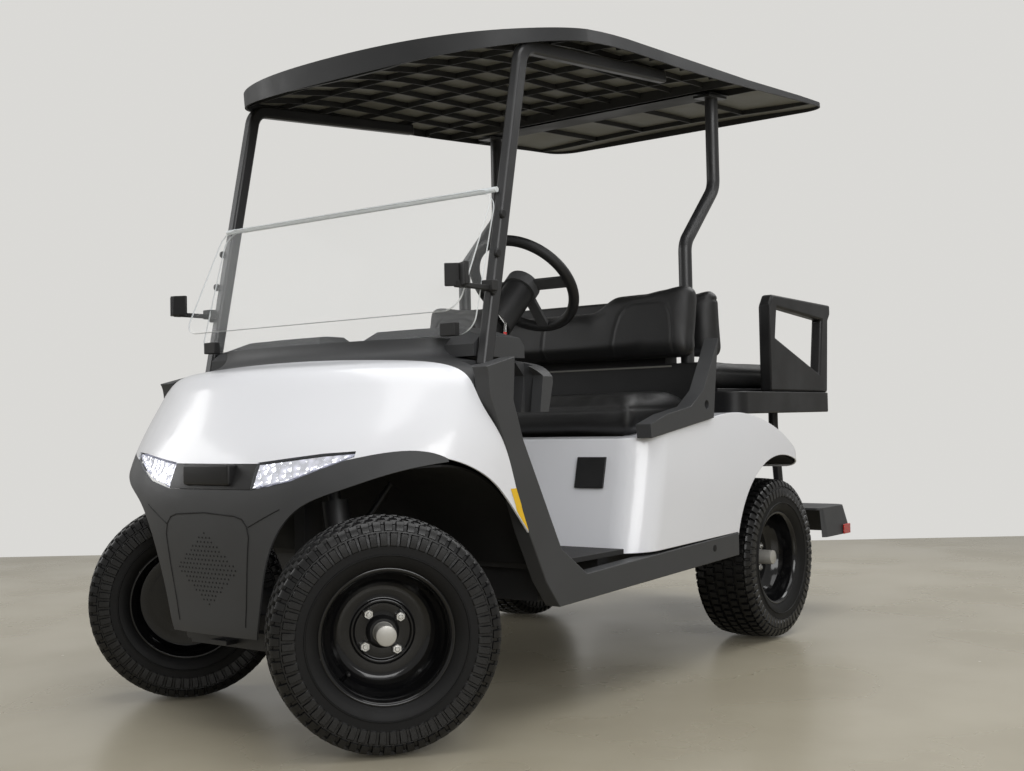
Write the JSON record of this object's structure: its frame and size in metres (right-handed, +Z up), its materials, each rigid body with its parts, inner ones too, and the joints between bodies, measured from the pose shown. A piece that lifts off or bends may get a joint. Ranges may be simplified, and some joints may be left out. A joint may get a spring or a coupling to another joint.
{
  "type": "golf cart",
  "caption": "Electric golf cart with a front bench, rear-facing flip seat, long canopy and fold-down windscreen, front wheels steered to its right.",
  "frame": {"origin": "on the floor, under the middle of the cart's bounding box", "axes": "+Z up, the cart's front faces -Y, the driver's side is +X"},
  "size_m": [1.3134, 2.7718, 1.8557],
  "materials": {
    "body_white": "high gloss, cool white",
    "trim_grey": "fine grain, charcoal",
    "roof_grey": "fine grain, charcoal",
    "black_plastic": "fine grain",
    "gloss_black": "gloss",
    "lamp_clear": "clear lens",
    "lamp_red": "prismatic lens",
    "mat_rubber": "ribbed",
    "vinyl_black": "grained vinyl",
    "deck_metal": "satin",
    "strut_paint": "satin powder coat",
    "frame_paint": "satin powder coat",
    "screen_clear": "clear acrylic",
    "hinge_metal": "satin",
    "cast_metal": "as cast, painted",
    "bare_steel": "zinc plated",
    "soft_grip": "soft touch",
    "wheel_black": "high gloss",
    "tyre_rubber": "moulded"
  },
  "bodies": {
    "cart": {"battery_pack": "black_plastic", "charge_port_cover": "black_plastic", "chassis_frame": "frame_paint", "dash": "trim_grey", "floor_pan": "mat_rubber", "foot_plate": "trim_grey", "foot_reflectors": "lamp_red", "front_coilovers": "frame_paint", "front_cowl": "body_white", "front_fascia": "trim_grey", "front_seat_back": "vinyl_black", "front_struts": "strut_paint", "front_suspension_arms": "frame_paint", "front_wheel_liners": "black_plastic", "headlamps": "lamp_clear", "lamp_panel": "gloss_black", "leaf_springs": "frame_paint", "pedals": "frame_paint", "rear_armrests": "trim_grey", "rear_axle": "cast_metal", "rear_body": "body_white", "rear_seat_back": "vinyl_black", "rear_seat_base": "trim_grey", "rear_seat_frame": "frame_paint", "rear_shocks": "frame_paint", "rear_struts": "strut_paint", "rear_wheel_liners": "black_plastic", "rocker_panels": "trim_grey", "roof": "roof_grey", "seat_back_arms": "trim_grey", "seat_back_carrier": "black_plastic", "steering_column": "black_plastic", "steering_rack_housing": "cast_metal", "tail_lamps": "lamp_red", "under_back_panel": "black_plastic", "windscreen_clips": "mat_rubber", "windscreen_hinge": "hinge_metal", "windscreen_lower": "screen_clear", "windscreen_upper": "screen_clear"},
    "steer_left": {"knuckle_left": "cast_metal"},
    "steer_right": {"knuckle_right": "cast_metal"},
    "wheel_fl": {"tyre_front_left": "tyre_rubber", "wheel_front_left": "wheel_black"},
    "wheel_fr": {"tyre_front_right": "tyre_rubber", "wheel_front_right": "wheel_black"},
    "wheel_rl": {"tyre_rear_left": "tyre_rubber", "wheel_rear_left": "wheel_black"},
    "wheel_rr": {"tyre_rear_right": "tyre_rubber", "wheel_rear_right": "wheel_black"},
    "rack": {"tie_rods": "bare_steel"},
    "hand_wheel": {"steering_wheel": "soft_grip"},
    "front_seat": {"front_seat_cushion": "vinyl_black"},
    "rear_seat": {"rear_seat_cushion": "vinyl_black", "rear_seat_deck": "deck_metal"}
  },
  "joints": [
    {"name": "steer_left", "type": "hinge", "parent": "cart", "child": "steer_left", "pos_m": [0.341, -1.06405, 0.26], "axis": [0, 0, 1], "range_deg": [0, 80]},
    {"name": "steer_right", "type": "hinge", "parent": "cart", "child": "steer_right", "pos_m": [-0.341, -1.06405, 0.26], "axis": [0, 0, 1], "range_deg": [-1, 81]},
    {"name": "rack_slide", "type": "slide", "parent": "cart", "child": "rack", "axis": [1, 0, 0], "range_m": [-0.13, 0.001]},
    {"name": "wheel_turn", "type": "hinge", "parent": "cart", "child": "hand_wheel", "pos_m": [0.27, -0.36605, 1.108], "axis": [0, 0.7314, 0.682], "range_deg": [-5, 805]},
    {"name": "spin_front_left", "type": "hinge", "parent": "steer_left", "child": "wheel_fl", "pos_m": [0.42527, -1.13476, 0.26], "axis": [0.766, -0.6428, 0], "continuous": true},
    {"name": "spin_front_right", "type": "hinge", "parent": "steer_right", "child": "wheel_fr", "pos_m": [-0.42527, -0.99335, 0.26], "axis": [-0.766, 0.6428, 0], "continuous": true},
    {"name": "spin_rear_left", "type": "hinge", "parent": "cart", "child": "wheel_rl", "pos_m": [0.485, 0.60495, 0.26], "axis": [1, 0, 0], "continuous": true},
    {"name": "spin_rear_right", "type": "hinge", "parent": "cart", "child": "wheel_rr", "pos_m": [-0.485, 0.60495, 0.26], "axis": [-1, 0, 0], "continuous": true},
    {"name": "front_seat_lift", "type": "hinge", "parent": "cart", "child": "front_seat", "pos_m": [0, 0.15795, 0.757], "axis": [-1, 0, 0], "range_deg": [0, 45]},
    {"name": "rear_seat_flip", "type": "hinge", "parent": "cart", "child": "rear_seat", "pos_m": [0, 1.07895, 0.862], "axis": [-1, 0, 0], "range_deg": [0, 180]}
  ],
  "couplings": [
    {"joint": "steer_right", "follows": "steer_left", "ratio": 1},
    {"joint": "rack_slide", "follows": "steer_left", "m_per_rad": -0.0921},
    {"joint": "wheel_turn", "follows": "steer_left", "ratio": 10}
  ]
}
